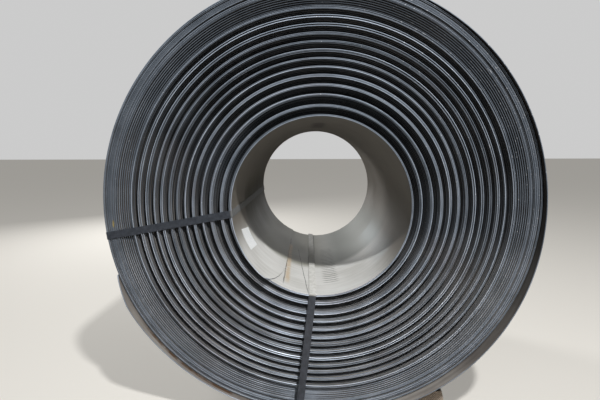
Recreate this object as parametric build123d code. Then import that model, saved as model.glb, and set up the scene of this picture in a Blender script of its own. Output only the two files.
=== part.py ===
from build123d import *
import math
import os

os.makedirs("parts", exist_ok=True)

# All sizes in mm. X points right and Z up as seen from the front; +Y runs along the eye, away from the front.
# Angles are clock angles seen from the front: 0 is 3 o'clock, 90 is 6 o'clock, 180 is 9 o'clock.

# Coil body
bore_radius = 381.0
coil_radius = 940.0
strip_width = 1250.0
lap_count = 133.0

# Ridges on the ends, counted in laps of strip from the first crest, at the bore's edge. Outside each crest the laps drop
# back steeply, then each stands a little forward of the last up to the next crest.
ridge_laps = (10.7, 10.6, 9.4, 8.8, 8.3, 8.0, 7.9, 7.9, 7.8, 7.7, 7.7, 8.4)
drop_laps = 2.0
ridge_depth = 35.0

# Finely wound zone and tight rim outside the ridges
zone_depth = 8.5
rim_start_laps = 118.0
rim_step_laps = 1.0
rim_depth = 2.0

# Outermost lap: it stands forward of the face, and its tail ends at 8 o'clock
overhang_max = 52.0
overhang_start_angle = 265.0
tail_angle = 161.5
tail_corner_angle = 153.0
tail_taper_span = 90.0

# Head end of the innermost lap, a step in the bore wall
head_angle = 116.0
head_taper_span = 70.0

# Straps
strap_width = 32.0
strap_gauge = 1.0
strap_joint_length = 110.0
strap_left_bore_angle = 176.1
strap_left_rim_angle = 172.4
strap_bottom_bore_angle = 95.1
strap_bottom_rim_angle = 95.9
strap_fold = 3.0
strap_clearance = 0.3

# Timber chock
chock_slope = 17.0
chock_outer_x = 551.0
chock_toe_height = 24.0
chock_width = 150.0
chock_clearance = 0.3

# Derived sizes
lap_pitch = (coil_radius - bore_radius) / lap_count
body_radius = coil_radius - lap_pitch
face_y = -(strip_width + ridge_depth - overhang_max) / 2
back_y = face_y + strip_width
reach = 2 * coil_radius
crest_laps = [sum(ridge_laps[:i]) for i in range(len(ridge_laps) + 1)]


def lap_radius(laps):
    return bore_radius + laps * lap_pitch


def on_clock(radius, angle, y):
    turn = math.radians(angle)
    return Vector(radius * math.cos(turn), y, -radius * math.sin(turn))


def sector(start, end, y_low, y_high):
    steps = math.ceil((end - start) / 45)
    rim = [on_clock(reach, start + (end - start) * i / steps, y_low) for i in range(steps + 1)]
    outline = Polyline(on_clock(0, 0, y_low), *rim, close=True)
    return extrude(make_face(outline), amount=y_high - y_low, dir=(0, 1, 0))


# Depth below the face at each radius; the back end has the same profile, because the strip's width is constant.
def end_profile():
    points = []
    for crest in crest_laps[:-1]:
        points.append((lap_radius(crest), 0.0))
        points.append((lap_radius(crest + drop_laps), ridge_depth))
    points.append((lap_radius(crest_laps[-1]), 0.0))
    points.append((lap_radius(crest_laps[-1] + drop_laps), zone_depth))
    points.append((lap_radius(rim_start_laps - rim_step_laps), zone_depth))
    points.append((lap_radius(rim_start_laps), rim_depth))
    points.append((coil_radius, rim_depth))
    return points


def wound_body():
    front = [(radius, face_y + depth) for radius, depth in end_profile()]
    back = [(radius, back_y + depth) for radius, depth in reversed(end_profile())]
    return revolve(make_face(Polyline(*front, *back, close=True)), Axis.Y, 360)


# How far the outermost lap stands forward of the face: an oblique plane, level with the face at its start.
def overhang_at(angle):
    return overhang_max * (1 - math.cos(math.radians(angle - overhang_start_angle))) / 2


def oblique_slab():
    slope = overhang_max / (2 * coil_radius)
    lean = math.radians(overhang_start_angle)
    corners = []
    for x, z in ((-reach, -reach), (reach, -reach), (reach, reach), (-reach, reach)):
        y = face_y - overhang_max / 2 + slope * (x * math.cos(lean) - z * math.sin(lean))
        corners.append(Vector(x, y, z))
    return extrude(make_face(Polyline(*corners, close=True)), amount=strip_width, dir=(0, 1, 0))


def lap_ring(y_low, y_high):
    ring = Circle(coil_radius) - Circle(body_radius)
    return Pos(0, y_low, 0) * Rot(-90, 0, 0) * extrude(ring, amount=y_high - y_low)


# The tail's front corner is cut off at a slant.
def tail_corner():
    middle = (tail_angle + tail_corner_angle) / 2
    radial = on_clock(1, middle, 0)
    half_arc = coil_radius * math.sin(math.radians((tail_angle - tail_corner_angle) / 2))
    plane = Plane(origin=on_clock(coil_radius, middle, face_y), x_dir=on_clock(1, middle + 90, 0), z_dir=radial)
    side = 1 if plane.y_dir.Y < 0 else -1
    corner = Polyline((half_arc, 0), (-half_arc, side * overhang_max), (half_arc * 2, side * overhang_max * 2), close=True)
    return extrude(plane * make_face(corner), amount=coil_radius / 10, both=True)


def loose_lap_front():
    ring = lap_ring(face_y - 2 * overhang_max, face_y + ridge_depth)
    loose = ring & oblique_slab()
    loose -= sector(tail_angle, overhang_start_angle, face_y - 3 * overhang_max, back_y)
    return loose - tail_corner()


# The strip keeps its width, so the loose lap stands back at the other end by as much as it stands forward here.
def loose_lap_back_gap():
    ring = lap_ring(back_y - 2 * overhang_max, back_y + 2 * overhang_max)
    gap = ring - oblique_slab()
    return gap - sector(tail_angle, overhang_start_angle, face_y, back_y + 3 * overhang_max)


# A lap's end leaves a step one lap deep, which tapers out along the clock.
def end_step(edge_radius, step_radius, step_angle, level_angle, closing_radius):
    low = face_y - 2 * overhang_max
    middle = ((edge_radius + step_radius) / 2, (step_angle + level_angle) / 2)
    arc = ThreePointArc(
        on_clock(step_radius, step_angle, low),
        on_clock(*middle, low),
        on_clock(edge_radius, level_angle, low),
    )
    closing = Polyline(
        on_clock(edge_radius, level_angle, low),
        on_clock(closing_radius, level_angle, low),
        on_clock(closing_radius, middle[1], low),
        on_clock(closing_radius, step_angle, low),
        on_clock(step_radius, step_angle, low),
    )
    return extrude(make_face([arc, closing]), amount=strip_width + 4 * overhang_max, dir=(0, 1, 0))


def coil():
    solid = wound_body() + loose_lap_front() - loose_lap_back_gap()
    solid -= end_step(coil_radius, body_radius, tail_angle, tail_angle + tail_taper_span, coil_radius * 1.5)
    solid -= end_step(bore_radius, lap_radius(1), head_angle, head_angle - head_taper_span, bore_radius / 2)
    return solid


def rim_radius_at(angle):
    along_taper = (angle - tail_angle) / tail_taper_span
    if 0 <= along_taper < 1:
        return coil_radius - lap_pitch * (1 - along_taper)
    return coil_radius


def strap_run(seat, angle, y_low, y_high, side):
    flat = Box(strap_gauge, y_high - y_low, strap_width)
    return Rot(0, angle, 0) * Pos(seat + side * strap_gauge / 2, (y_low + y_high) / 2, 0) * flat


# A strap is pulled tight round the wound wall, so its loop is the hull of what it bears on. It runs a little askew:
# its ends lie flat on the bore and on the rim at their own clock angles.
def strap(bore_angle, rim_angle):
    seated = tail_angle <= rim_angle <= overhang_start_angle
    front_edge = face_y if seated else face_y - overhang_at(rim_angle)
    back_edge = back_y + rim_depth
    bore_seat = math.sqrt(bore_radius**2 - strap_width**2 / 4) - strap_clearance
    rim_seat = rim_radius_at(rim_angle) + strap_clearance
    start = on_clock(bore_seat, bore_angle, 0)
    across = on_clock(rim_seat, rim_angle, 0) - start
    plane = Plane(origin=start, x_dir=across, z_dir=across.cross(Vector(0, 1, 0)))

    def along(radius):
        return (radius - bore_seat) * across.length / (rim_seat - bore_seat)

    first_groove = along(lap_radius(crest_laps[0] + drop_laps)) - strap_fold
    last_groove = along(lap_radius(crest_laps[-2] + drop_laps)) + strap_fold
    loop = Polyline(
        (-strap_fold, face_y - strap_clearance),
        (along(body_radius), front_edge - strap_clearance),
        (across.length + strap_fold, front_edge - strap_clearance),
        (across.length + strap_fold, back_edge + strap_clearance),
        (last_groove, back_y + ridge_depth + strap_clearance),
        (first_groove, back_y + ridge_depth + strap_clearance),
        (-strap_fold, back_y + strap_clearance),
        close=True,
    )
    inside = make_face(loop)
    band = offset(inside, amount=strap_gauge, kind=Kind.INTERSECTION) - inside
    length = back_edge - face_y
    solid = plane * (
        extrude(band, amount=strap_width / 2, both=True)
        - Pos(0, face_y + length / 2, 0) * Box(2 * reach, length, 2 * strap_width)
    )
    past_bore = Pos(bore_seat - strap_gauge - reach / 2, 0, 0) * Box(reach, 2 * reach, reach)
    past_rim = Pos(rim_seat + strap_gauge + reach / 2, 0, 0) * Box(reach, 2 * reach, reach)
    solid -= Rot(0, bore_angle, 0) * past_bore
    solid -= Rot(0, rim_angle, 0) * past_rim
    margin = strap_clearance + strap_gauge
    solid += strap_run(bore_seat, bore_angle, face_y - margin, back_y + margin, -1)
    solid += strap_run(rim_seat, rim_angle, front_edge - margin, back_edge + margin, 1)
    joint_y = (face_y + back_y) / 2
    half_joint = strap_joint_length / 2
    solid += strap_run(rim_seat + strap_gauge, rim_angle, joint_y - half_joint, joint_y + half_joint, 1)
    return solid


# The slope bears on the coil; toe and outer end are cut square.
def chock():
    slope = math.radians(chock_slope)
    touch = coil_radius + chock_clearance
    touch_x = touch * math.sin(slope)
    touch_z = coil_radius - touch * math.cos(slope)
    outer_height = touch_z + (chock_outer_x - touch_x) * math.tan(slope)
    toe_x = touch_x - (touch_z - chock_toe_height) / math.tan(slope)
    outline = Polyline(
        (toe_x, face_y, 0),
        (toe_x, face_y, chock_toe_height),
        (chock_outer_x, face_y, outer_height),
        (chock_outer_x, face_y, 0),
        close=True,
    )
    return extrude(make_face(outline), amount=chock_width, dir=(0, 1, 0))


raised = Pos(0, 0, coil_radius)
export_step(raised * coil(), "parts/coil.step")
export_step(raised * strap(strap_left_bore_angle, strap_left_rim_angle), "parts/strap_left.step")
export_step(raised * strap(strap_bottom_bore_angle, strap_bottom_rim_angle), "parts/strap_bottom.step")
export_step(chock(), "parts/chock.step")
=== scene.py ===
import math
import random
from functools import partial

import bmesh
import bpy
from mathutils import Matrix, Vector, noise


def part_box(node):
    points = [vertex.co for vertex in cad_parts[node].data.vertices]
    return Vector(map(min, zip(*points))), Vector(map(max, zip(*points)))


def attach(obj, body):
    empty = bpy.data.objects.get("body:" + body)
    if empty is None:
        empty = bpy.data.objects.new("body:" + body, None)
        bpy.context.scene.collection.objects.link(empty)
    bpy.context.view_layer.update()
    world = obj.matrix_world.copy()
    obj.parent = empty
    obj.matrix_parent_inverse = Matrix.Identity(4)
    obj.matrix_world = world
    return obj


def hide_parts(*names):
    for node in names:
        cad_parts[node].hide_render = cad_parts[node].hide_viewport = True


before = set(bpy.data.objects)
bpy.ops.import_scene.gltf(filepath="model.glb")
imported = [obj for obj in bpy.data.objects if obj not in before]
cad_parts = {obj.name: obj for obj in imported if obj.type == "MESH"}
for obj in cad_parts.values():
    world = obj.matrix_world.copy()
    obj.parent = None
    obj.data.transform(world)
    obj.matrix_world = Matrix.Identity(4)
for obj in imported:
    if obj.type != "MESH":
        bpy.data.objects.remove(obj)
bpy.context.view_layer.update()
print("frame loaded:", sorted(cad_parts))

# Metres, but the patterns of materials are in millimetres. X right, Z up, +Y away from the front.
# Clock angles are degrees as seen from the front: 0 at 3, 90 at 6 and 180 at 9 o'clock.
axisHeight = 0.940          # the coil's axis above the floor
frontPlane = -0.6165        # the plane of the crests on the coil's front end

# Kinds of node and operations that come often. A Map Range takes value, from low, from high, to low, to high.
maths, vectorMaths, mixed = "ShaderNodeMath", "ShaderNodeVectorMath", "ShaderNodeMix"
ranged, noisy, ramped = "ShaderNodeMapRange", "ShaderNodeTexNoise", "ShaderNodeValToRGB"
combine, separate = "ShaderNodeCombineXYZ", "ShaderNodeSeparateXYZ"
plus, minus, times, over = "ADD", "SUBTRACT", "MULTIPLY", "DIVIDE"
timesPlus, absolute = "MULTIPLY_ADD", "ABSOLUTE"
inColour = {"data_type": "RGBA"}
smoothly = {"interpolation_type": "SMOOTHSTEP"}


def linear(hexColour):
    channels = [int(hexColour[i:i + 2], 16) / 255 for i in (1, 3, 5)]
    return [c / 12.92 if c <= 0.04045 else ((c + 0.055) / 1.055) ** 2.4 for c in channels] + [1.0]


# Settings can be one operation. Inputs go by name or number, or as a row from the first: values, sockets, or
# nodes, which stand for their first output in use. Stops are a colour ramp's, and points a curve's.
def addNode(tree, kind, settings=None, inputs=None, stops=(), points=()):
    node = tree.nodes.new(kind)
    settings = {"operation": settings} if isinstance(settings, str) else settings or {}
    for name, value in settings.items():
        setattr(node, name, value)
    inputs = dict(enumerate(inputs)) if isinstance(inputs, tuple) else inputs or {}
    for name, value in inputs.items():
        if isinstance(value, bpy.types.Node):
            value = next(s for s in value.outputs if s.enabled)
        if isinstance(value, bpy.types.NodeSocket):
            tree.links.new(value, node.inputs[name])
        else:
            node.inputs[name].default_value = value
    if stops:
        for extra in stops[2:]:
            node.color_ramp.elements.new(1.0)
        for element, (place, colour) in zip(node.color_ramp.elements, stops):
            element.position, element.color = place, linear(colour)
    if points:
        curve = node.mapping.curves[0]
        for point, place in zip(curve.points, points[:2]):
            point.location = place
        for x, y in points[2:]:
            curve.points.new(x, y)
        for point in curve.points:
            point.handle_type = "VECTOR"
        node.mapping.update()
    return node


def onClock(radius, angle, y):
    turn = math.radians(angle)
    return Vector((radius * math.cos(turn), y, axisHeight - radius * math.sin(turn)))


def smoothStep(value, low, high):
    t = min(max((value - low) / (high - low), 0.0), 1.0)
    return t * t * (3 - 2 * t)


def addObject(name, data, *materials):
    thing = bpy.data.objects.new(name, data)
    bpy.context.scene.collection.objects.link(thing)
    for material in materials:
        data.materials.append(material)
    return thing


def finishMesh(mesh, name):
    bmesh.ops.recalc_face_normals(mesh, faces=mesh.faces)
    data = bpy.data.meshes.new(name)
    mesh.to_mesh(data)
    mesh.free()
    return data


# The surface adds its nodes and gives back what goes into the shader's sockets.
def newMaterial(name, surface, look):
    material = bpy.data.materials.new(name)
    material.use_nodes = True
    material.node_tree.nodes.clear()
    add = partial(addNode, material.node_tree)
    shader = add("ShaderNodeBsdfPrincipled", {}, surface(add, look))
    add("ShaderNodeOutputMaterial", {}, {"Surface": shader})
    return material


# Clock angle in degrees, and metres behind the crests' plane.
def clockAndReach(add, place):
    apart = add(separate, {}, (place,)).outputs
    down = add(maths, minus, (axisHeight, apart["Z"]))
    turn = add(maths, "ARCTAN2", (down, apart["X"]))
    degrees = add(maths, times, (turn, 180 / math.pi))
    clock = add(maths, "FLOORED_MODULO", (degrees, 360.0))
    return clock, add(maths, minus, (apart["Y"], frontPlane))


# 1 between low and high, 0 outside them, with soft borders.
def window(add, value, low, high, soft):
    rise = add(ranged, smoothly, (value, low - soft, low + soft))
    fall = add(ranged, smoothly, (value, high + soft, high - soft))
    return add(maths, times, (rise, fall))


edgeLook = {
    "oxide": ((0.30, "#6e7781"), (0.52, "#9ca6b3"), (0.75, "#c0c9d6")),
    "cloud": 120,  # clouds of lighter and darker oxide
    "cloudShare": (0.5, -0.02),
    "tintsPerLap": 1.7,  # so that each lap differs from the next
    "tintShare": 0.6,
    "roughness": (0.3, 0.75, 0.52, 0.36),  # from dark to light oxide
    "metallic": 0.35,
    "specular": 0.15,
    "rust": "#6e5148",
    "rustCloud": 333.3,
    "rustAmount": (0.54, 0.74, 0.0, 0.3),
    "rubbed": "#e4e8ef",  # bright dashes along the laps: partly rubbed steel, partly painted glints
    "dash": 14,
    "dashSharpness": (0.0, 0.04, 0.0, 0.9),
    "dashTowards": (0.743, 0.0, 0.669),  # they get more this way, towards the key lamp at the upper right, from 1.10 to 1.45 m from the origin: painted glints
    "dashLimit": (1.10, 1.45, 0.80, 0.70),
    # Small stains on the front edges: colour, centre and half sizes in metres.
    "flecks": (("#b5a36a", (-0.8945, -0.617, 0.8700), (0.0045, 0.030, 0.019)),),
}


# Hot-rolled strip's mill edge: blue-grey oxide on a rounded steel edge, satin, with short bright dashes that
# are partly rubbed steel and partly painted glints. The coil's painted-shade attribute darkens it where laps
# lie deep and between laps, and makes it lighter about the lower part and darker in deep laps near the top,
# as light from above falls.
def millEdge(add, look):
    place = add("ShaderNodeTexCoord").outputs["Object"]
    lap, run, tone = (add("ShaderNodeAttribute", {"attribute_name": name}).outputs["Fac"]
                      for name in ("lap", "run", "tone"))
    tint = add(noisy, {"noise_dimensions": "1D"}, {"W": lap, "Scale": look["tintsPerLap"], "Detail": 2.0})
    clouds = add(noisy, {}, {"Vector": place, "Scale": 1000 / look["cloud"], "Detail": 4.0})
    cloudy = add(maths, timesPlus, (clouds, *look["cloudShare"]))
    shade = add(maths, timesPlus, (tint, look["tintShare"], cloudy))
    oxide = add(ramped, {}, (shade,), stops=look["oxide"])
    rustClouds = add(noisy, {}, {
        "Vector": place, "Scale": 1000 / look["rustCloud"], "Detail": 6.0, "Roughness": 0.6})
    rustAmount = add(ranged, {}, (rustClouds, *look["rustAmount"]))
    rusty = add(mixed, inColour, {0: rustAmount, 6: oxide, 7: linear(look["rust"])})
    # Bright dashes along the laps: partly rubbed steel, partly painted glints, most towards the upper right
    # where the key lamp shines.
    dashPlace = add(combine, {}, (add(maths, times, (run, 1000 / look["dash"])), lap))
    dashes = add(noisy, {"noise_dimensions": "2D"}, {"Vector": dashPlace, "Scale": 1.0, "Detail": 1.0})
    towards = add(vectorMaths, "DOT_PRODUCT", (place, look["dashTowards"]))
    limit = add(ranged, {}, (towards.outputs["Value"], *look["dashLimit"]))
    glintDashes = add(ranged, {}, (add(maths, minus, (dashes, limit)), *look["dashSharpness"]))
    worn = add(mixed, inColour, {0: glintDashes, 6: rusty, 7: linear(look["rubbed"])})
    # Painted shade: the colour is scaled by the coil's painted-shade attribute.
    colour = add(vectorMaths, "SCALE", {0: worn, "Scale": tone})
    for fleckColour, centre, halfSizes in look["flecks"]:
        apart = add(vectorMaths, minus, (place, centre))
        scaled = add(vectorMaths, over, (apart, halfSizes))
        reach = add(vectorMaths, "LENGTH", (scaled,)).outputs["Value"]
        fleck = add(ranged, {}, (reach, 1.0, 0.6))
        colour = add(mixed, inColour, {0: fleck, 6: colour, 7: linear(fleckColour)})
    roughness = add(ranged, {}, (shade, *look["roughness"]))
    return {"Base Color": colour, "Roughness": roughness, "Metallic": look["metallic"],
            "Specular IOR Level": look["specular"]}


# What the strip's flat faces have in common, and how each differs.
rolledLook = {
    "streak": (500, 30),  # length along the rolling direction, and width
    "streakRoughness": 0.6,
    "streakShare": 0.5,
    "cloud": 250,
    "cloudDetail": 5.0,
    "places": (0.34, 0.5, 0.68),  # of the dark, middle and light colour
    "roughnessPlaces": (0.3, 0.7),
    "metallic": 0.0,
}
outerLook = {
    "colours": ("#4d5056", "#64686f", "#7b7a79"),
    "metallic": 0.35,
    "specular": 0.5,
    "roughness": (0.36, 0.55),
}
innerLook = {
    "colours": ("#57534e", "#787470", "#95918b"),
    "specular": 0.05,
    "roughness": (0.6, 0.8),
}
# Painted shade outside two clock angles gives its colour and strength, the angles, and the border's softness.
# A mark has its colour, strength, clock angles, metres behind the crests' plane, lean in degrees a metre, the
# border's softness in degrees, and whether it is broken up into patches.
tailLook = {
    "colours": ("#67615c", "#87817b", "#a5a099"),
    "specular": 0.2,
    "roughness": (0.5, 0.7),
    # Painted shade: the inner face darker round the upper right, where it faces away from the key lamp.
    "beyond": ("#26221f", 0.82, 38.0, 262.0, 30.0),
    "patch": (71.43, 6.0, 0.7),  # size, detail and roughness
    "patchLimits": (0.42, 0.58),
    "wander": (111.1, 0.0),  # size, and degrees that marks stray to one side
    "reachSoft": 0.003,
    # The rust line at the root is darkened to stand also for the shadow in the gap beside the rim: partly
    # rust, partly painted shade.
    "marks": {"rust": ("#4d3319", 0.9, (108.0, 145.0), (-0.010, 0.004), 0.0, 5.0, True)},
}
boreLook = {
    "colours": ("#c1c0ba", "#d4d3cf", "#e0e0dd"),
    "places": (0.32, 0.5, 0.7),
    "streak": (200, 20),
    "streakRoughness": 0.5,
    "streakShare": 0.4,
    "cloud": 180,
    "cloudDetail": 4.0,
    "metallic": 0.1,
    "specular": 0.5,
    "roughness": (0.34, 0.48),
    # Painted shade: the upper and side walls darker and browner than the rubbed bottom, partly browner
    # unrubbed scale.
    "beyond": ("#645a4d", 0.82, 40.0, 158.0, 13.0),
    "patch": (25, 4.0, 0.6),
    "patchLimits": (0.30, 0.46),
    "wander": (111.1, 0.6),
    "reachSoft": 0.04,
    "marks": {
        # Partly an oily olive tint, partly painted shade on the deep wall behind the lit crescent.
        "oilFilm": ("#565330", 0.65, (84.0, 190.0), (0.42, 1.40), 0.0, 14.0, False),
        # Partly an oily olive tint, partly painted shade on the deep left wall.
        "oilPool": ("#2f2a14", 0.80, (144.0, 188.0), (0.36, 1.40), 0.0, 9.0, False),
        # Painted shade on the deep right wall, where the back lamp lights it.
        "oilHaze": ("#5a6056", 0.80, (22.0, 80.0), (0.46, 1.40), 0.0, 12.0, False),
        # Painted shadow: a dark line beside the head's cut edge.
        "headLine": ("#3d352c", 0.95, (115.2, 116.0), (0.07, 0.95), 0.0, 0.2, True),
        "scratch": ("#2c2823", 0.95, (97.7, 98.15), (0.03, 0.75), 12.5, 0.14, True),
        "stain": ("#c4ab86", 0.75, (111.4, 114.6), (0.10, 0.80), 2.0, 1.1, True),
        "smudge": ("#2e1d15", 0.85, (265.5, 275.0), (0.40, 0.80), 0.0, 2.5, True),
        # Painted reflection: a pale bluish sheen on the right wall.
        "sheen": ("#cfdde4", 0.25, (30.0, 46.0), (0.15, 0.75), 0.0, 7.0, False),
    },
    # Fine wrinkles across the strip, drawn as dark lines of painted shade for creases the mesh doesn't have:
    # colour, strength, clock angles, reach, metres from one to the next.
    "wrinkles": ("#403d36", 0.95, (76.5, 87.0), (0.16, 0.80), 0.029),
    "wrinkleLine": (0.19, 0.05),  # their soft and dark widths, as shares of that
    "wrinkleBend": 0.012,
    "wrinkleSoft": (2.0, 0.05),  # degrees and metres
}


# Hot-rolled mill scale with streaks along the rolling direction. Outside the coil it is satin blue-grey,
# between laps dull and browner, and in the bore, rubbed by the mandrel, pale and smooth with films of oil.
# The tail lap's inner face is darker round the upper right and the bore's upper and side walls darker and
# browner, both painted shade; the bore's films are partly oil and partly painted shade, and its sheen is
# painted.
def rolledSteel(add, ownLook):
    look = {**rolledLook, **ownLook}
    place = add("ShaderNodeTexCoord").outputs["Object"]
    run = add("ShaderNodeAttribute", {"attribute_name": "run"}).outputs["Fac"]
    clock, behind = clockAndReach(add, place)
    streakLength, streakWidth = look["streak"]
    across = add(separate, {}, (place,)).outputs["Y"]
    rolled = add(combine, {}, (add(maths, times, (run, streakWidth / streakLength)), across))
    streaks = add(noisy, {"noise_dimensions": "2D"}, {
        "Vector": rolled, "Scale": 1000 / streakWidth, "Detail": 4.0, "Roughness": look["streakRoughness"]})
    clouds = add(noisy, {}, {"Vector": place, "Scale": 1000 / look["cloud"], "Detail": look["cloudDetail"]})
    cloudy = add(maths, times, (clouds, 1 - look["streakShare"]))
    both = add(maths, timesPlus, (streaks, look["streakShare"], cloudy))
    painted = add(ramped, {}, (both,), stops=tuple(zip(look["places"], look["colours"])))
    # Painted shade outside two clock angles.
    if "beyond" in look:
        shadeColour, strength, *limits = look["beyond"]
        amount = add(ranged, {}, (window(add, clock, *limits), 0.0, 1.0, strength, 0.0))
        painted = add(mixed, inColour, {0: amount, 6: painted, 7: linear(shadeColour)})
    if "marks" in look:
        size, detail, rough = look["patch"]
        patchy = add(noisy, {}, {"Vector": place, "Scale": 1000 / size, "Detail": detail, "Roughness": rough})
        broken = add(ranged, {}, (patchy, *look["patchLimits"]))
        size, stray = look["wander"]
        wander = add(noisy, {"noise_dimensions": "1D"}, {"W": behind, "Scale": 1000 / size, "Detail": 2.0})
        strayed = add(maths, minus, (add(maths, timesPlus, (wander, 2 * stray, clock)), stray))
    for markColour, strength, angles, reach, lean, soft, isBroken in look.get("marks", {}).values():
        leaning = add(maths, timesPlus, (behind, -lean, strayed))
        onWall = window(add, behind, *reach, look["reachSoft"])
        inside = add(maths, times, (window(add, leaning, *angles, soft), onWall))
        if isBroken:
            inside = add(maths, times, (inside, broken))
        amount = add(maths, times, (inside, strength))
        painted = add(mixed, inColour, {0: amount, 6: painted, 7: linear(markColour)})
    # Painted shade: dark lines for the wrinkles.
    if "wrinkles" in look:
        wrinkleColour, strength, angles, reach, spacing = look["wrinkles"]
        angleSoft, reachSoft = look["wrinkleSoft"]
        bent = add(maths, timesPlus, (patchy, look["wrinkleBend"], behind))
        toNearest = add(maths, "PINGPONG", (bent, spacing / 2))
        line = add(ranged, {}, (toNearest, *(spacing * share for share in look["wrinkleLine"])))
        onWall = window(add, behind, *reach, reachSoft)
        inside = add(maths, times, (window(add, clock, *angles, angleSoft), onWall))
        amount = add(maths, times, (add(maths, times, (inside, line)), strength))
        painted = add(mixed, inColour, {0: amount, 6: painted, 7: linear(wrinkleColour)})
    roughness = add(ranged, {}, (both, *look["roughnessPlaces"], *look["roughness"]))
    return {"Base Color": painted, "Roughness": roughness, "Metallic": look["metallic"],
            "Specular IOR Level": look["specular"]}


strappingLook = {
    "blued": ((0.4, "#2c3139"), (0.72, "#464b54")),
    "bare": ((0.4, "#c2c1bb"), (0.6, "#d9d8d4")),
    "spot": 16.667,
    "roughness": (0.3, 0.7, 0.5, 0.65),
}


# Blued high-tensile steel strapping: dark, waxed and satin, rubbed lighter in spots, and pale in the bore and
# over its fold, by its attribute "inBore": partly rubbed bare, partly a painted glint at the fold and a
# painted reflection in the bore.
def bluedStrapping(add, look):
    place = add("ShaderNodeTexCoord").outputs["Object"]
    inBore = add("ShaderNodeAttribute", {"attribute_name": "inBore"}).outputs["Fac"]
    rubs = add(noisy, {}, {"Vector": place, "Scale": 1000 / look["spot"], "Detail": 5.0, "Roughness": 0.65})
    blued, bare = (add(ramped, {}, (rubs,), stops=look[name]) for name in ("blued", "bare"))
    colour = add(mixed, inColour, {0: inBore, 6: blued, 7: bare})
    return {"Base Color": colour, "Roughness": add(ranged, {}, (rubs, *look["roughness"])), "Metallic": 0.0}


timberLook = {
    "wood": ((0.15, "#564d44"), (0.5, "#95897b"), (0.9, "#bfb4a6")),
    "dirt": "#95897b",
    "dirtPatch": 40,
    "dirtAmount": (0.4, 0.7, 0.0, 0.7),
    "ring": 6,
    "heart": (-0.1, 0.0, 0.25),  # moves the rings' middle outside the wedge
    "alongGrain": 0.08,  # how much less the pattern changes along the grain
    "relief": 1,
    "roughness": 0.85,
}


# Rough-sawn softwood, weathered grey-brown: growth rings on its ends and long grain on its sides.
def weatheredSoftwood(add, look):
    place = add("ShaderNodeTexCoord").outputs["Object"]
    grain = add("ShaderNodeMapping", {}, {
        "Vector": place, "Location": look["heart"], "Scale": (1.0, look["alongGrain"], 1.0)})
    # At a scale of 1 the rings of a wave texture are 310 mm apart.
    rings = add("ShaderNodeTexWave", {"wave_type": "RINGS", "rings_direction": "Y"}, {
        "Vector": grain, "Scale": 310 / look["ring"], "Distortion": 2.5, "Detail": 3.0, "Detail Scale": 1.5})
    wood = add(ramped, {}, (rings.outputs["Fac"],), stops=look["wood"])
    dirt = add(noisy, {}, {
        "Vector": place, "Scale": 1000 / look["dirtPatch"], "Detail": 6.0, "Roughness": 0.7})
    dirty = add(ranged, {}, (dirt, *look["dirtAmount"]))
    colour = add(mixed, inColour, {0: dirty, 6: wood, 7: linear(look["dirt"])})
    bump = add("ShaderNodeBump", {}, {
        "Height": rings.outputs["Fac"], "Strength": 0.5, "Distance": look["relief"] / 1000})
    return {"Base Color": colour, "Normal": bump, "Roughness": look["roughness"]}


paperLook = {"paper": ((0.35, "#eceff0"), (0.7, "#fafbfb")), "fibre": 11.11, "roughness": 0.8}


# Uncoated paper: matt white, slightly soiled. Real fibres are too fine to show, so these are drawn coarser.
def uncoatedPaper(add, look):
    place = add("ShaderNodeTexCoord").outputs["Object"]
    fibres = add(noisy, {}, {"Vector": place, "Scale": 1000 / look["fibre"], "Detail": 4.0})
    return {"Base Color": add(ramped, {}, (fibres,), stops=look["paper"]),
            "Roughness": look["roughness"]}


edgeSteel = newMaterial("hotRolledMillEdge", millEdge, edgeLook)
outerSteel = newMaterial("hotRolledMillScale", rolledSteel, outerLook)
innerSteel = newMaterial("dullMillScale", rolledSteel, innerLook)
tailSteel = newMaterial("weatheredAndShadedMillScale", rolledSteel, tailLook)
boreSteel = newMaterial("rubbedAndShadedBoreSteel", rolledSteel, boreLook)
strappingSteel = newMaterial("bluedSteelStrapping", bluedStrapping, strappingLook)
timber = newMaterial("weatheredSoftwood", weatheredSoftwood, timberLook)
paper = newMaterial("uncoatedPaper", uncoatedPaper, paperLook)
print("materials made")

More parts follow.
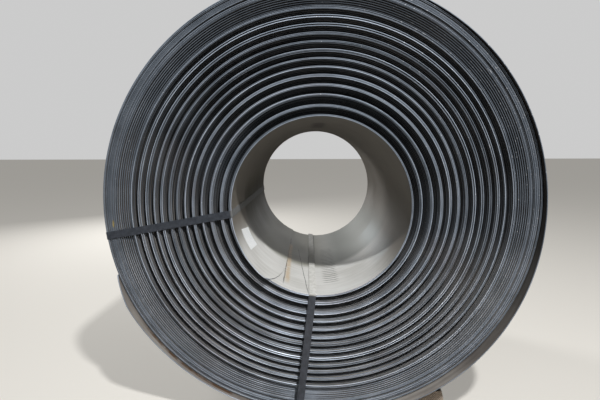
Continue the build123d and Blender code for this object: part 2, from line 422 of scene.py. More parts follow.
# The coil is one strip wound in a spiral, in laps counted from its head end in the bore.
coil = {
    "boreRadius": 0.381,
    "outerRadius": axisHeight,
    "stripWidth": 1.250,
    "gauge": 0.0039,
    "edgeChamfer": 0.0011,
    "headAngle": 115.7,
    "tailAngle": 161.5,
    "fullTurns": 133,
    "looseGap": 0.003,  # the outermost lap has sprung off the one below it
    "looseTurns": 0.92,  # laps from the tail, where it lies tight again
    "looseRise": 0.3,  # laps in which it comes off
    "wobble": 0.0016,  # how far the strip wandered sideways
    "wobbleTurns": 1.15,
    "wobbleGrowth": (0.8, 3.0),  # at the bore and at the rim
    "seed": 7.3,
    # Ridges on the ends, with depths behind the crests' plane.
    "crestRadii": (0.381, 0.4258, 0.4704, 0.5098, 0.5467, 0.5814, 0.6149, 0.6480, 0.6814, 0.7139, 0.7461,
                   0.7783, 0.8134),
    "landHalfWidth": 0.0045,
    "firstLand": 0.0105,  # the crest round the bore is a whole land wide
    "drop": 0.0030,  # the width of the steep side outside each land
    "climbPower": 1.2,
    "depth": 0.034,
    "notch": 0.0045,  # a sunk lap in the middle of the wider-wound crests
    "notchHalfWidth": 0.003,
    "notchFrom": 0.6,
    "zoneDepths": (0.0130, 0.0045),  # the fine zone climbs from the first to the second of these
    "zoneStagger": 0.0028,  # its laps stand this much back and forward by turns
    "rimStart": 0.877,
    "rimDepth": 0.002,
    "gaps": ((0.8930, 0.0026, 0.010), (0.9195, 0.0020, 0.008)),  # radius, half width and depth, in the rim
    "chartPointsPerLap": 8,
    # Of three numbers together, the first is a clock angle, then degrees to fade out in, and the share there.
    "gapsClose": (188.0, 50.0, 0.9),
    # Painted shade: brightness of the laps' edges by their depth, darker the deeper they lie.
    "tones": ((0.0, 1.0), (0.0030, 0.72), (0.0075, 0.33), (0.0155, 0.17), (0.035, 0.09)),
    "pairLaps": 2.15,  # laps lie brighter and darker about by turns
    "pairTone": 0.42,
    # Painted light: the laps' edges are lighter about these lower clock angles, where light from above falls
    # on them.
    "litMost": ((52.0, 30.0, 0.38), (150.0, 22.0, 0.24)),
    "shadedMost": (300.0, 80.0, 0.65),  # painted shade near the top: darker from the crests down to the depth on the next line, and below it
    "shadedDepth": 0.0045,
    # Painted shade on the fine zone: darker as a whole, its laps that stand back darker still, and darker
    # near the top.
    "zoneTone": 0.48,
    "zoneContrast": 0.45,
    "zoneDark": (278.0, 55.0, 0.85),
    "rimTone": 0.58,
    "looseTone": 0.80,
    "shoulderTone": 0.28,  # painted shade on the rounded corners beside the gaps between laps
    "tailShoulderTone": 0.80,
    "shearedTone": 0.18,  # painted shade on the head's cut edge
    "shearedFrom": (0.005, 0.03),
    # How far the outermost lap stands forward, by clock angle, and its tail's cut corner.
    "overhangReach": 0.054,
    "overhang": ((280, 0), (290, 0.004), (305, 0.009), (320, 0.015), (335, 0.017), (350, 0.021),
                 (365, 0.030), (380, 0.042), (395, 0.050), (410, 0.054), (422, 0.052), (450, 0.036),
                 (470, 0.028), (480, 0.028), (495, 0.032), (510, 0.043), (521.5, 0.047)),
    "cornerSpan": 8.5,
    "cornerBow": 0.8,
    # How far the innermost lap's front edge stands back, by degrees from its head end; below 0 is forward.
    "headReach": 0.460,
    "headForward": 0.030,
    "headEdge": ((0, 0.43), (0.8, 0.27), (1.6, 0.195), (3.4, 0.123), (6.3, 0.048), (9.5, 0.0), (13, -0.028),
                 (18, -0.030), (40, -0.010), (58, 0)),
    "headSpan": 60,
}
turns = coil["fullTurns"] + (coil["tailAngle"] - coil["headAngle"]) / 360
lapPitch = (coil["outerRadius"] - coil["boreRadius"] - coil["gauge"] - coil["looseGap"]) / turns


# A share that is largest at one clock angle and fades out within so many degrees of it.
def swell(lap, angle, span, share):
    apart = (coil["headAngle"] + 360 * lap - angle + 180) % 360 - 180
    return share * math.exp(-(apart / span) ** 2)


# From a crest outwards: its land, a steep drop, then laps that step forward again to the next land. Outside
# the last crest laps stand back and forward by turns, and the rim is level but for its gaps.
def depthAt(radius, lap):
    crests, half = coil["crestRadii"], coil["landHalfWidth"]
    if radius >= coil["rimStart"]:
        opened = 1 - swell(lap, *coil["gapsClose"])
        depth = coil["rimDepth"]
        for middle, wide, gapDepth in coil["gaps"]:
            depth += opened * gapDepth * (1 - smoothStep(abs(radius - middle), wide * 0.5, wide * 1.5))
        return depth
    if radius > crests[-1] + half:
        foot = crests[-1] + half + coil["drop"]
        drop = smoothStep(radius, crests[-1] + half, foot)
        deep, shallow = coil["zoneDepths"]
        climbed = min(max((radius - foot) / (coil["rimStart"] - foot), 0.0), 1.0)
        return drop * (deep + (shallow - deep) * climbed + coil["zoneStagger"] * (1 if int(lap) % 2 else -1))
    inner = max(r for r in crests if r <= radius)
    outer = min([r for r in crests if r > radius], default=crests[-1])
    nearest = min(radius - inner, outer - radius) if outer > inner else radius - inner
    sunk = coil["notch"] * (radius > coil["notchFrom"])
    notch = sunk * (1 - smoothStep(nearest, 0.0, coil["notchHalfWidth"]))
    if outer == inner:
        return notch
    if inner == crests[0]:
        inner += coil["firstLand"] - half
    foot = inner + half + coil["drop"]
    drop = smoothStep(radius, inner + half, foot)
    climb = min(max((radius - foot) / (outer - half - foot), 0.0), 1.0)
    return notch + coil["depth"] * drop * (1 - climb ** coil["climbPower"])


# Painted shade on the laps' edges: darker the deeper they lie, lighter about the lower clock angles and
# darker in the deep laps near the top, as light from above falls; the fine zone darker, and its sunk laps
# darker still.
def toneAt(radius, depth, lap):
    litFactor = 1 + sum(swell(lap, *place) for place in coil["litMost"])
    paired = litFactor * (1 + coil["pairTone"] * math.cos(math.tau * lap / coil["pairLaps"]))
    if lap > turns - 1:
        return coil["looseTone"]
    if radius >= coil["rimStart"]:
        return coil["rimTone"] * paired
    if radius > coil["crestRadii"][-1] + coil["landHalfWidth"]:
        striped = 1 + coil["zoneContrast"] * (-1 if int(lap) % 2 else 1)
        return (1 - swell(lap, *coil["zoneDark"])) * litFactor * coil["zoneTone"] * striped
    for (low, lowTone), (high, highTone) in zip(coil["tones"], coil["tones"][1:]):
        if depth <= high:
            shadedShare = swell(lap, *coil["shadedMost"]) * min(depth / coil["shadedDepth"], 1)
            return (lowTone + (highTone - lowTone) * (depth - low) / (high - low)) * paired * (1 - shadedShare)
    return highTone


# The chart is a row of points, so many to a lap, whose X is the lap there, Y its depth and Z its tone, a
# painted shade.
def windingChart():
    points = []
    for index in range(int(turns * coil["chartPointsPerLap"]) + 3):
        lap = index / coil["chartPointsPerLap"]
        radius = coil["boreRadius"] + lap * lapPitch + coil["gauge"] / 2
        depth = depthAt(radius, lap)
        points.append((lap, depth, toneAt(radius, depth, lap)))
    mesh = bpy.data.meshes.new("windingChart")
    mesh.from_pydata(points, [], [])
    return mesh


stripInputs = {
    "NodeSocketInt": {"Sections Per Lap": 120, "Chart Points Per Lap": coil["chartPointsPerLap"]},
    "NodeSocketFloat": {
        "First Lap": 0.0,
        "Last Lap": 1.0,
        "Bore Radius": coil["boreRadius"],
        "Lap Pitch": lapPitch,
        "Gauge": coil["gauge"],
        "Strip Width": coil["stripWidth"],
        "Edge Chamfer": coil["edgeChamfer"],
        "Shoulder Tone": coil["shoulderTone"],
        "Sheared Tone": coil["shearedTone"],
        "Axis Height": axisHeight,
        "Front Plane": frontPlane,
        "Head Angle": math.radians(coil["headAngle"]),
        "All Laps": turns,
        "Wobble": coil["wobble"],
        "Wobble Laps": coil["wobbleTurns"],
        "Seed": coil["seed"],
        "Loose Gap": coil["looseGap"],
        "Loose Laps": coil["looseTurns"],
        "Overhang": coil["overhangReach"],
    },
    "NodeSocketMaterial": dict.fromkeys(("Edge Material", "Inner Face Material", "Outer Face Material")),
}


def woundStripTree():
    tree = bpy.data.node_groups.new("woundStrip", "GeometryNodeTree")
    add = partial(addNode, tree)
    tree.interface.new_socket("Geometry", in_out="INPUT", socket_type="NodeSocketGeometry")
    for kind, defaults in stripInputs.items():
        for name, default in defaults.items():
            socket = tree.interface.new_socket(name, in_out="INPUT", socket_type=kind)
            if default is not None:
                socket.default_value = default
    tree.interface.new_socket("Geometry", in_out="OUTPUT", socket_type="NodeSocketGeometry")
    given = add("NodeGroupInput").outputs
    store, read = "GeometryNodeStoreNamedAttribute", "GeometryNodeInputNamedAttribute"
    number, vector = {"data_type": "FLOAT"}, {"data_type": "FLOAT_VECTOR"}
    lowest, compare = "MINIMUM", "FunctionNodeCompare"

    # The strip's run is a line whose X is the lap number. Its section, a chamfered rectangle, goes along it.
    start = add(combine, {}, (given["First Lap"],))
    end = add(combine, {}, (given["Last Lap"],))
    line = add("GeometryNodeCurvePrimitiveLine", {}, {"Start": start, "End": end})
    length = add(maths, minus, (given["Last Lap"], given["First Lap"]))
    sections = add(maths, times, (length, given["Sections Per Lap"]))
    count = add(maths, plus, (add(maths, "ROUND", (sections,)), 1.0))
    rings = add("GeometryNodeResampleCurve", {}, {"Curve": line, "Count": count})
    here = add("GeometryNodeInputPosition")
    lapHere = add(separate, {}, (here,)).outputs["X"]
    run = add(store, number, {"Geometry": rings, "Name": "lap", "Value": lapHere})
    rectangle = add("GeometryNodeCurvePrimitiveQuadrilateral", {}, {
        "Width": given["Gauge"], "Height": given["Strip Width"]})
    chamfered = add("GeometryNodeFilletCurve", {"mode": "POLY"}, {
        "Curve": rectangle, "Count": 1, "Radius": given["Edge Chamfer"]})
    profile = add(store, vector, {"Geometry": chamfered, "Name": "section", "Value": here})
    band = add("GeometryNodeCurveToMesh", {}, {"Curve": run, "Profile Curve": profile, "Fill Caps": True})
    lap = add(read, number, {"Name": "lap"}).outputs[0]
    section = add(separate, {}, (add(read, vector, {"Name": "section"}),)).outputs
    fromTail = add(maths, minus, (given["All Laps"], lap))

    # Depth behind the crests' plane, and the painted shade: read off the chart, between its two nearest
    # points.
    place = add(maths, times, (lap, given["Chart Points Per Lap"]))
    below = add(maths, "FLOOR", (place,))
    above = add(maths, plus, (below, 1.0))
    between = add(maths, "FRACT", (place,))
    low, high = (add("GeometryNodeSampleIndex", {**vector, "clamp": True}, {
        "Geometry": given["Geometry"], "Value": here, "Index": index}) for index in (below, above))
    charted = add(mixed, {"data_type": "VECTOR"}, {0: between, 4: low, 5: high})
    depth, tone = add(separate, {}, (charted,)).outputs[1:]

    # Wobble: the strip wandered a little on its way on to the coil, more on the outer laps.
    wander = add(maths, plus, (add(maths, over, (lap, given["Wobble Laps"])), given["Seed"]))
    chance = add(noisy, {"noise_dimensions": "1D"}, {"W": wander, "Scale": 1.0, "Detail": 1.0})
    swing = add(maths, minus, (chance, 0.5))
    growth = add(ranged, {}, (add(maths, over, (lap, given["All Laps"])), 0.0, 1.0, *coil["wobbleGrowth"]))
    wobble = add(maths, times, (add(maths, times, (swing, growth)), given["Wobble"]))
    edge = add(maths, plus, (add(maths, plus, (depth, wobble)), given["Front Plane"]))

    # The outermost lap stands forward, and its tail has a cut corner; the head's front corner is rounded off.
    endAngle = coil["tailAngle"] + 360
    furthest = coil["overhangReach"]
    tailPoints = [((endAngle - angle) / 360, out / furthest) for angle, out in reversed(coil["overhang"])]
    lastTurn = add(maths, lowest, (fromTail, 1.0))
    tailCurve = add("ShaderNodeFloatCurve", {}, {"Value": lastTurn}, points=tailPoints + [(1.0, 0.0)])
    overhang = add(maths, times, (tailCurve, given["Overhang"]))
    corner = add(ranged, {}, (fromTail, 0.0, coil["cornerSpan"] / 360))
    cut = add(maths, "POWER", (corner, coil["cornerBow"]))
    frontOverhang = add(maths, times, (overhang, cut))
    reach, forward, span = coil["headReach"], coil["headForward"], coil["headSpan"]
    headPoints = [(angle / span, (back + forward) / reach) for angle, back in coil["headEdge"]]
    fromHead = add(maths, lowest, (add(maths, times, (lap, 360 / span)), 1.0))
    headCurve = add("ShaderNodeFloatCurve", {}, {"Value": fromHead}, points=headPoints)
    headEdge = add(maths, timesPlus, (headCurve, reach, -forward))
    front = add(maths, minus, (add(maths, plus, (edge, headEdge)), frontOverhang))
    back = add(maths, plus, (add(maths, minus, (edge, overhang)), given["Strip Width"]))
    halfWidth = add(maths, times, (given["Strip Width"], 0.5))
    frontY = add(maths, plus, (front, add(maths, plus, (section["Y"], halfWidth))))
    backY = add(maths, plus, (back, add(maths, minus, (section["Y"], halfWidth))))
    atBack = add(maths, "GREATER_THAN", (section["Y"], 0.0))
    y = add(maths, timesPlus, (atBack, add(maths, minus, (backY, frontY)), frontY))

    # The spiral: the radius grows by one pitch a lap, and the outermost lap has sprung off a little.
    wound = add(maths, timesPlus, (lap, given["Lap Pitch"], given["Bore Radius"]))
    middle = add(maths, timesPlus, (given["Gauge"], 0.5, wound))
    tight = add(maths, minus, (given["Loose Laps"], coil["looseRise"]))
    sprung = add(ranged, smoothly, (fromTail, given["Loose Laps"], tight, 0.0, given["Loose Gap"]))
    radius = add(maths, plus, (add(maths, plus, (middle, sprung)), section["X"]))
    turn = add(maths, timesPlus, (lap, math.tau, given["Head Angle"]))
    x = add(maths, times, (radius, add(maths, "COSINE", (turn,))))
    drop = add(maths, times, (radius, add(maths, "SINE", (turn,))))
    z = add(maths, minus, (given["Axis Height"], drop))
    wrapped = add("GeometryNodeSetPosition", {}, {"Geometry": band, "Position": add(combine, {}, (x, y, z))})

    # Metres of strip from the head, for patterns that follow the rolling direction.
    halfPitch = add(maths, times, (given["Lap Pitch"], 0.5))
    meanRadius = add(maths, timesPlus, (lap, halfPitch, given["Bore Radius"]))
    metres = add(maths, times, (add(maths, times, (lap, math.tau)), meanRadius))
    measured = add(store, number, {"Geometry": wrapped, "Name": "run", "Value": metres})

    # The edge's painted shade, darker on the rounded shoulders beside the gaps and on the head's cut.
    fromMiddle = add(maths, absolute, (section["Y"],))
    inset = add(maths, over, (add(maths, minus, (halfWidth, fromMiddle)), given["Edge Chamfer"]))
    shoulder = add(ranged, {}, (inset, 0.0, 1.0, 1.0, given["Shoulder Tone"]))
    sheared = add(ranged, {}, (headEdge, *coil["shearedFrom"], 1.0, given["Sheared Tone"]))
    shade = add(maths, times, (add(maths, times, (shoulder, sheared)), tone))
    toned = add(store, number, {"Geometry": measured, "Name": "tone", "Value": shade})

    # Smooth but for its long edges, and facing outwards.
    stripped = add("GeometryNodeRemoveAttribute", {}, {"Geometry": toned, "Name": "section"})
    turned = add("GeometryNodeFlipFaces", {}, {"Mesh": stripped})
    smooth = add("GeometryNodeSetShadeSmooth", {"domain": "FACE"}, {"Geometry": turned, "Shade Smooth": True})
    greater, less = ({"data_type": "FLOAT", "operation": name} for name in ("GREATER_THAN", "LESS_THAN"))
    corners = add(compare, greater, (add("GeometryNodeInputMeshEdgeAngle").outputs[0], 0.5))
    creased = add("GeometryNodeSetShadeSmooth", {"domain": "EDGE"}, {
        "Geometry": smooth, "Selection": corners, "Shade Smooth": False})
    realized = add("GeometryNodeRealizeInstances", {}, {"Geometry": creased})

    # Materials, by where a face looks: outwards, towards the axis, or along it and at the strip's two ends.
    normal = add("GeometryNodeInputNormal").outputs[1]
    axis = add(combine, {}, {"Z": given["Axis Height"]})
    fromAxis = add(vectorMaths, times, (add(vectorMaths, minus, (here, axis)), (1, 0, 1)))
    outward = add(vectorMaths, "DOT_PRODUCT", (fromAxis, normal)).outputs["Value"]
    inner = add(compare, less, (outward, 0.0))
    facing = add(maths, absolute, (add(separate, {}, (normal,)).outputs["Y"],))
    atEdge = add(compare, greater, (facing, 0.3))
    atEnd = add(compare, less, (add(maths, absolute, (outward,)), 0.1))
    atCut = add("FunctionNodeBooleanMath", "OR", (atEdge, atEnd))
    painted = realized
    for selection, name in ((True, "Outer Face"), (inner, "Inner Face"), (atCut, "Edge")):
        painted = add("GeometryNodeSetMaterial", {}, {
            "Geometry": painted, "Selection": selection, "Material": given[name + " Material"]})
    add("NodeGroupOutput", {}, {"Geometry": painted})
    return tree


stripTree = woundStripTree()


def windStrip(name, values):
    piece = addObject(name, windingChart())
    modifier = piece.modifiers.new("woundStrip", "NODES")
    modifier.node_group = stripTree
    for item in stripTree.interface.items_tree:
        if item.name in values:
            modifier[item.identifier] = values[item.name]
    chart = piece.data
    piece.data = bpy.data.meshes.new_from_object(piece.evaluated_get(bpy.context.evaluated_depsgraph_get()))
    piece.modifiers.clear()
    piece.data.name = name
    bpy.data.meshes.remove(chart)
    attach(piece, "root")
    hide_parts("coil")
    print(name, len(piece.data.polygons), "faces")


# One strip in four meshes, which meet at whole sections: first lap, last lap, sections per lap, inner face.
for partName, first, last, perLap, innerFace, shoulderTone in (
    ("coil_bore_lap", 0.0, 1.4, 360, boreSteel, coil["shoulderTone"]),
    ("coil_inner_laps", 1.4, 66.0, 120, innerSteel, coil["shoulderTone"]),
    ("coil_outer_laps", 66.0, 132.0, 120, innerSteel, coil["shoulderTone"]),
    ("coil_tail_lap", 132.0, turns, 480, tailSteel, coil["tailShoulderTone"]),
):
    windStrip(partName, {"First Lap": first, "Last Lap": last, "Sections Per Lap": perLap,
                         "Shoulder Tone": shoulderTone, "Inner Face Material": innerFace,
                         "Edge Material": edgeSteel, "Outer Face Material": outerSteel})


def outerRadiusAt(angle):
    lapsLeft = ((coil["tailAngle"] - angle) % 360) / 360
    sprung = smoothStep(coil["looseTurns"] - lapsLeft, 0, coil["looseRise"]) * coil["looseGap"]
    return coil["boreRadius"] + (turns - lapsLeft) * lapPitch + coil["gauge"] + sprung


def overhangAt(angle):
    angle = angle % 360 + (360 if angle % 360 <= coil["tailAngle"] else 0)
    for (a, low), (b, high) in zip(coil["overhang"], coil["overhang"][1:]):
        if a <= angle <= b:
            return low + (high - low) * (angle - a) / (b - a)
    return 0.0


straps = {
    "width": 0.032,
    "gauge": 0.001,
    "edgeRounding": 0.35,  # of half the gauge
    "clearance": 0.0006,
    "foldRadius": 0.0024,
    "foldPoints": 7,
    "step": 0.008,
    "tuck": 0.0045,  # how far it dips past the first and last groove at the back
    "wallFrom": 0.003,  # further behind the crests' plane than this, it lies on the bore or the rim
    "twistSpan": 0.004,  # in which it turns from the wall's slant to the face's
    "sharpAngle": 35,
    # How far past the bore's edge the strap stays pale: rubbed bare, and a painted glint over the fold.
    "bareAndGlintPastFold": (0.003, 0.008),
    "steadyEnds": 0.02,  # no waves this near the folds
    "waves": (0.0005, 14),  # height, and waves a metre
    "sway": (0.0012, 5),
    "jointLength": 0.110,
    "jointSteps": (-1.0, -0.97, -0.5, 0.0, 0.5, 0.97, 1.0),
    "jointInset": 0.0003,
    "jointGap": 0.0001,
    "keys": 3,  # punched through both layers of the joint, in pairs
    "keyPitch": 0.026,
    "keyHalfSize": (0.007, 0.004),
    "keyFromMiddle": 0.0075,
    "keySteps": (-1.0, -0.6, 0.6, 1.0),
    "keyLift": 0.9,  # of the gauge
    "keyThickness": 0.8,
    # Clock angles at the bore and at the rim, and how pale the strap is inside the bore: rubbed bare, and
    # painted reflection.
    "places": {"strap_left": (176.1, 172.4, 0.25), "strap_bottom": (95.1, 95.9, 1.0)},
}


def roundedPath(corners, radius, step):
    path = []
    for index, corner in enumerate(corners):
        before, after = corners[index - 1], corners[(index + 1) % len(corners)]
        inDir, outDir = (corner - before).normalized(), (after - corner).normalized()
        reach = radius * math.tan(inDir.angle(outDir) / 2)
        first, last = corner - inDir * reach, corner + outDir * reach
        for share in range(straps["foldPoints"]):
            t = share / (straps["foldPoints"] - 1)
            path.append(first * (1 - t) ** 2 + corner * 2 * t * (1 - t) + last * t ** 2)
        nextIn = (corners[(index + 2) % len(corners)] - after).normalized()
        nextReach = radius * math.tan(outDir.angle(nextIn) / 2)
        length = (after - corner).length - reach - nextReach
        pieces = max(int(length / step), 1)
        for share in range(1, pieces):
            path.append(last + outDir * length * share / pieces)
    return path


def tangentAt(angle):
    turn = math.radians(angle)
    return Vector((-math.sin(turn), 0, -math.cos(turn)))


def bandMesh(mesh, path, widths, halfWidth, halfGauge, closed):
    soft = straps["edgeRounding"] * halfGauge
    corner = ((halfWidth - soft, halfGauge), (halfWidth, halfGauge - soft))
    section = [(-halfWidth + soft, halfGauge), *corner, (halfWidth, soft - halfGauge),
               (halfWidth - soft, -halfGauge), (-halfWidth + soft, -halfGauge),
               (-halfWidth, soft - halfGauge), (-halfWidth, halfGauge - soft)]
    rings = []
    for index, point in enumerate(path):
        before = path[index - 1] if closed or index else point
        after = path[(index + 1) % len(path)] if closed or index + 1 < len(path) else point
        along = (after - before).normalized()
        across = (widths[index] - along * widths[index].dot(along)).normalized()
        out = across.cross(along)
        rings.append([mesh.verts.new(point + across * w + out * n) for w, n in section])
    for index in range(len(rings) if closed else len(rings) - 1):
        low, high = rings[index], rings[(index + 1) % len(rings)]
        for side in range(8):
            mesh.faces.new((low[side], low[(side + 1) % 8], high[(side + 1) % 8], high[side]))
    if not closed:
        mesh.faces.new(rings[0])
        mesh.faces.new(rings[-1])


def buildStrap(name, boreAngle, rimAngle, bareAndGlintShare, seed):
    half = straps["gauge"] / 2
    off = straps["clearance"] + half
    boreSeat = math.sqrt(coil["boreRadius"] ** 2 - straps["width"] ** 2 / 4) - off
    rimSeat = outerRadiusAt(rimAngle) + off
    backPlane = frontPlane + coil["stripWidth"]
    forward = overhangAt(rimAngle)
    boreFront = onClock(boreSeat, boreAngle, frontPlane - off)
    rimFront = onClock(rimSeat, rimAngle, frontPlane - forward + coil["rimDepth"] * (forward == 0) - off)
    rimBack = onClock(rimSeat, rimAngle, backPlane + coil["rimDepth"] + off)
    boreBack = onClock(boreSeat, boreAngle, backPlane + off)
    pastLand = coil["landHalfWidth"] + coil["drop"]

    # At the back it spans from the foot of the last ridge to the foot of the first.
    def backPoint(radius):
        flat = boreBack.lerp(rimBack, (radius - boreSeat) / (rimSeat - boreSeat))
        flat.y = backPlane + coil["depth"] + off
        return flat

    corners = [boreFront, rimFront, rimBack, backPoint(coil["crestRadii"][-2] + pastLand + straps["tuck"]),
               backPoint(coil["crestRadii"][0] + pastLand - straps["tuck"]), boreBack]
    path = roundedPath(corners, straps["foldRadius"], straps["step"])
    across = rimFront - boreFront
    faceWidth = Vector((across.z, 0, -across.x)).normalized()
    boreWidth, rimWidth = tangentAt(boreAngle), tangentAt(rimAngle)
    middle = (boreSeat + rimSeat) / 2
    phase = random.Random(seed).uniform(0, 10)
    (height, wavesPerMetre), (sway, swaysPerMetre) = straps["waves"], straps["sway"]
    twist, steady = straps["twistSpan"], straps["steadyEnds"]
    widths = []
    for point in path:
        radius = math.hypot(point.x, point.z - axisHeight)
        wallWidth = boreWidth if radius < middle else rimWidth
        if frontPlane + straps["wallFrom"] < point.y < backPlane:
            widths.append(wallWidth)
            continue
        share = smoothStep(radius, boreSeat, boreSeat + twist)
        share *= 1 - smoothStep(radius, rimSeat - twist, rimSeat)
        widths.append(wallWidth.lerp(faceWidth, share).normalized())
        if boreSeat + steady < radius < rimSeat - steady:
            lift = (noise.noise(Vector((radius * wavesPerMetre + phase, seed, 0))) * 0.5 + 0.5) * height
            point.y += lift if point.y > 0 else -lift
            point += faceWidth * noise.noise(Vector((radius * swaysPerMetre, phase, 3))) * sway
    halfWidth = straps["width"] / 2
    mesh = bmesh.new()
    bandMesh(mesh, path, widths, halfWidth, half, True)

    # The lapped joint on the rim: a second layer, held by keys punched through both.
    jointRadius = rimSeat + straps["gauge"] + straps["jointGap"]
    keyRadius = jointRadius + straps["gauge"] * straps["keyLift"]
    jointMiddle = (rimFront.y + rimBack.y) / 2
    jointPath = [onClock(jointRadius, rimAngle, jointMiddle + share * straps["jointLength"] / 2)
                 for share in straps["jointSteps"]]
    bandMesh(mesh, jointPath, [rimWidth] * len(jointPath), halfWidth - straps["jointInset"], half, False)
    keyLength, keyWidth = straps["keyHalfSize"]
    for key in range(straps["keys"]):
        y = jointMiddle + (key - (straps["keys"] - 1) / 2) * straps["keyPitch"]
        for side in (-1, 1):
            beside = rimWidth * side * straps["keyFromMiddle"]
            keyPath = [onClock(keyRadius, rimAngle, y + share * keyLength) + beside
                       for share in straps["keySteps"]]
            bandMesh(mesh, keyPath, [rimWidth] * len(keyPath), keyWidth, half * straps["keyThickness"], False)
    data = finishMesh(mesh, name)
    data.shade_smooth()
    data.set_sharp_from_angle(angle=math.radians(straps["sharpAngle"]))
    # Pale inside the bore and over the fold: partly rubbed bare, partly a painted glint and reflection.
    inBore = data.attributes.new("inBore", "FLOAT", "POINT")
    for vert in data.vertices:
        pastFold = math.hypot(vert.co.x, vert.co.z - axisHeight) - coil["boreRadius"]
        inBore.data[vert.index].value = bareAndGlintShare * (1 - smoothStep(pastFold, *straps["bareAndGlintPastFold"]))
    strap = addObject(name + "_band", data, strappingSteel)
    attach(strap, "root")
    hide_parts(name)
    print(strap.name, len(data.polygons), "faces")


for strapSeed, (strapName, strapPlace) in enumerate(straps["places"].items()):
    buildStrap(strapName, *strapPlace, strapSeed + 1)

chockLow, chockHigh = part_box("chock")
chock = {
    "slope": 17.0,
    "grid": 0.005,
    "sawn": 0.0012,  # depth of the saw's marks, and marks a metre on X, Y and Z
    "sawnScale": (60, 9, 60),
    "sawnFractal": (0.8, 2.0, 4),
    "inset": 0.0001,
    "hollows": 0.002,  # shallow torn hollows on the front face
    "hollowScale": (22, 0, 40),
    # The outer top edge, where it was driven in, is worn by so much, and inwards by a share of that.
    "splinter": 0.016,
    "splinterEven": 0.6,
    "splinterInward": 0.6,
    "splinterReach": (0.05, 0.04),
    "splinterScale": (10, 25, 10),
}


def buildChock():
    slope = math.tan(math.radians(chock["slope"]))
    size = chockHigh - chockLow
    toe = chockHigh.z - size.x * slope
    mesh = bmesh.new()
    bmesh.ops.create_cube(mesh, size=1.0)
    for axis, length in enumerate((size.x, size.y, chockHigh.z)):
        along = [e for e in mesh.edges if abs(e.verts[0].co[axis] - e.verts[1].co[axis]) > 0.5]
        cuts = max(int(length / chock["grid"]), 2)
        bmesh.ops.subdivide_edges(mesh, edges=along, cuts=cuts, use_grid_fill=True)

    def noiseAt(place, scale):
        return Vector([c * s for c, s in zip(place, scale)])

    for vert in mesh.verts:
        u, v, w = (c + 0.5 for c in vert.co)
        top = toe + u * size.x * slope
        x, y, z = place = (chockLow.x + u * size.x, chockLow.y + v * size.y, w * top)
        rough = noise.fractal(noiseAt(place, chock["sawnScale"]), *chock["sawnFractal"])
        inward = abs(rough * chock["sawn"]) + chock["inset"]
        x += inward * ((u < 1e-6) - (u > 1 - 1e-6))
        if v < 1e-6:
            y += inward + max(0, noise.noise(noiseAt((x, 0, z), chock["hollowScale"]))) * chock["hollows"]
        if v > 1 - 1e-6:
            y -= inward
        if w > 1 - 1e-6:
            z -= inward
        reachX, reachZ = chock["splinterReach"]
        near = max(0.0, 1 - (1 - u) * size.x / reachX) * max(0.0, 1 - (1 - w) * top / reachZ)
        uneven = chock["splinterEven"] + noise.noise(noiseAt((x, y, z), chock["splinterScale"]))
        worn = near * uneven * chock["splinter"]
        vert.co = (x - worn * chock["splinterInward"], y, max(z - worn, 0.0))
    data = finishMesh(mesh, "chock_timber")
    wedge = addObject("chock_timber", data, timber)
    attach(wedge, "root")
    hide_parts("chock")
    print(wedge.name, len(data.polygons), "faces")


buildChock()

# The label in the bore is blank. Its corners are clock angles and metres behind the crests' plane.
label = {
    "corners": ((162.0, 0.129), (159.0, 0.284), (144.2, 0.269), (146.3, 0.114)),
    "thickness": 0.0003,
    "glue": 0.0002,
    "curl": 0.0012,  # how far one corner has come off
    "curlSharpness": 5,
    "cells": (20, 14),
}


def buildLabel():
    first, second, third, fourth = (Vector((angle, y, 0)) for angle, y in label["corners"])
    nu, nv = label["cells"]
    wallSide = coil["boreRadius"] - label["glue"]
    mesh = bmesh.new()
    layers = []
    for radius in (wallSide - label["thickness"], wallSide):
        grid = [[] for i in range(nu + 1)]
        for i, row in enumerate(grid):
            for j in range(nv + 1):
                spot = first.lerp(fourth, i / nu).lerp(second.lerp(third, i / nu), j / nv)
                lifted = label["curl"] * max(0.0, 1 - math.hypot(i / nu, 1 - j / nv) * label["curlSharpness"])
                row.append(mesh.verts.new(onClock(radius - lifted, spot.x, frontPlane + spot.y)))
        layers.append(grid)
    for grid in layers:
        for i in range(nu):
            for j in range(nv):
                mesh.faces.new((grid[i][j], grid[i + 1][j], grid[i + 1][j + 1], grid[i][j + 1]))
    rim = [(i, 0) for i in range(nu)] + [(nu, j) for j in range(nv)]
    rim += [(i, nv) for i in range(nu, 0, -1)] + [(0, j) for j in range(nv, 0, -1)]
    for (i, j), (k, l) in zip(rim, rim[1:] + rim[:1]):
        mesh.faces.new((layers[0][i][j], layers[0][k][l], layers[1][k][l], layers[1][i][j]))
    data = finishMesh(mesh, "bore_label")
    sheet = addObject("bore_label", data, paper)
    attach(sheet, "root")
    print(sheet.name, len(data.polygons), "faces")


buildLabel()

studio = {
    "floor": "#b9b6b0",
    "floorBounce": "#7d7a74",
    "floorLift": 0.68,
    "floorHalfSize": 60,
    "floorDrop": 0.0005,
    "floorRoughness": 0.9,
    "ambient": 0.012,
    "backdrop": 0.6,
    # Place, target, size, power, colour and spread in degrees.
    "lamps": {
        "keyLamp": ((1.30, -3.12, 5.20), (0, -0.6, 0.94), (0.30, 0.30), 308, (1.0, 1.0, 1.0), 180),
        "frontLamp": ((-1.8, -5.0, 4.4), (0, -0.6, 0.94), (3.6, 1.0), 21, (0.76, 0.90, 1.0), 180),
        "backLamp": ((-2.9, 4.2, 3.0), (0, 0.6, 0.94), (1.2, 1.2), 170, (1.0, 1.0, 1.0), 180),
        "floorGlow": ((0.1, -1.95, 0.12), (0, -0.6, 0.22), (3.4, 0.2), 2.9, (1.0, 0.89, 0.80), 80),
    },
    "roundLamp": "keyLamp",
    "lens": 23.7,
    "sensor": 36,
    "clip": (0.05, 200),
    "cameraPlace": (-0.056, -2.2765, 1.178),
    "cameraTurn": (83.0, 0.135, 1.105),
}


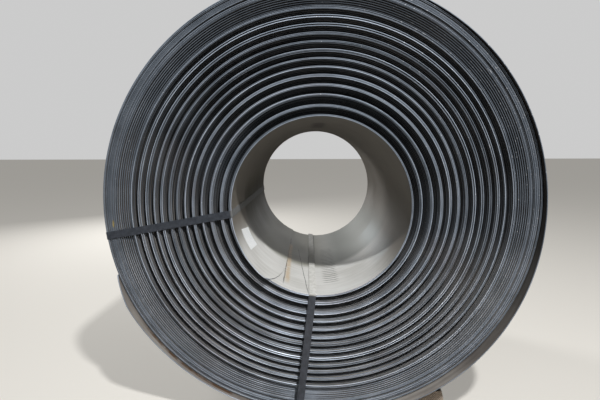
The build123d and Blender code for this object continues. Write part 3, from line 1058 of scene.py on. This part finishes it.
# Painted floor: matt and pale. The camera sees it paler than it lights the object.
def floorPaint(add, look):
    cameraRay = add("ShaderNodeLightPath").outputs["Is Camera Ray"]
    lift = add(maths, times, (cameraRay, look["floorLift"]))
    paint = add(mixed, inColour, {0: cameraRay, 6: linear(look["floorBounce"]), 7: linear(look["floor"])})
    return {"Base Color": paint, "Roughness": look["floorRoughness"], "Specular IOR Level": 0.0,
            "Emission Color": linear(look["floor"]), "Emission Strength": lift}


def buildStudio():
    far = studio["floorHalfSize"]
    corners = [(-far, -far, 0), (far, -far, 0), (far, far, 0), (-far, far, 0)]
    floorMesh = bpy.data.meshes.new("studioFloor")
    floorMesh.from_pydata(corners, [], [(0, 1, 2, 3)])
    floor = addObject("studioFloor", floorMesh, newMaterial("studioFloorPaint", floorPaint, studio))
    floor.location.z = -studio["floorDrop"]
    world = bpy.data.worlds.new("studioWorld")
    bpy.context.scene.world = world
    world.use_nodes = True
    world.node_tree.nodes.clear()
    add = partial(addNode, world.node_tree)
    rays = add("ShaderNodeLightPath").outputs
    highest = "MAXIMUM"
    seen = add(maths, highest, (rays["Is Camera Ray"], rays["Is Glossy Ray"]))
    seen = add(maths, highest, (seen, rays["Is Transmission Ray"]))
    strength = add(ranged, {}, (seen, 0.0, 1.0, studio["ambient"], studio["backdrop"]))
    background = add("ShaderNodeBackground", {}, {"Color": (1, 1, 1, 1), "Strength": strength})
    add("ShaderNodeOutputWorld", {}, {"Surface": background})
    for name, (place, target, size, power, colour, spread) in studio["lamps"].items():
        light = bpy.data.lights.new(name, "AREA")
        light.shape = "DISK" if name == studio["roundLamp"] else "RECTANGLE"
        light.size, light.size_y = size
        light.energy, light.color, light.spread = power, colour, math.radians(spread)
        lamp = addObject(name, light)
        lamp.location = place
        lamp.rotation_euler = (Vector(target) - Vector(place)).to_track_quat("-Z", "Y").to_euler()
    lens = bpy.data.cameras.new("photoCamera")
    lens.lens, lens.sensor_width = studio["lens"], studio["sensor"]
    lens.clip_start, lens.clip_end = studio["clip"]
    camera = addObject("photoCamera", lens)
    camera.location = studio["cameraPlace"]
    camera.rotation_euler = [math.radians(angle) for angle in studio["cameraTurn"]]
    bpy.context.scene.camera = camera
    bpy.context.scene.view_settings.view_transform = "Standard"
    print("studio lit by", ", ".join(studio["lamps"]))


buildStudio()

print("scene ready")
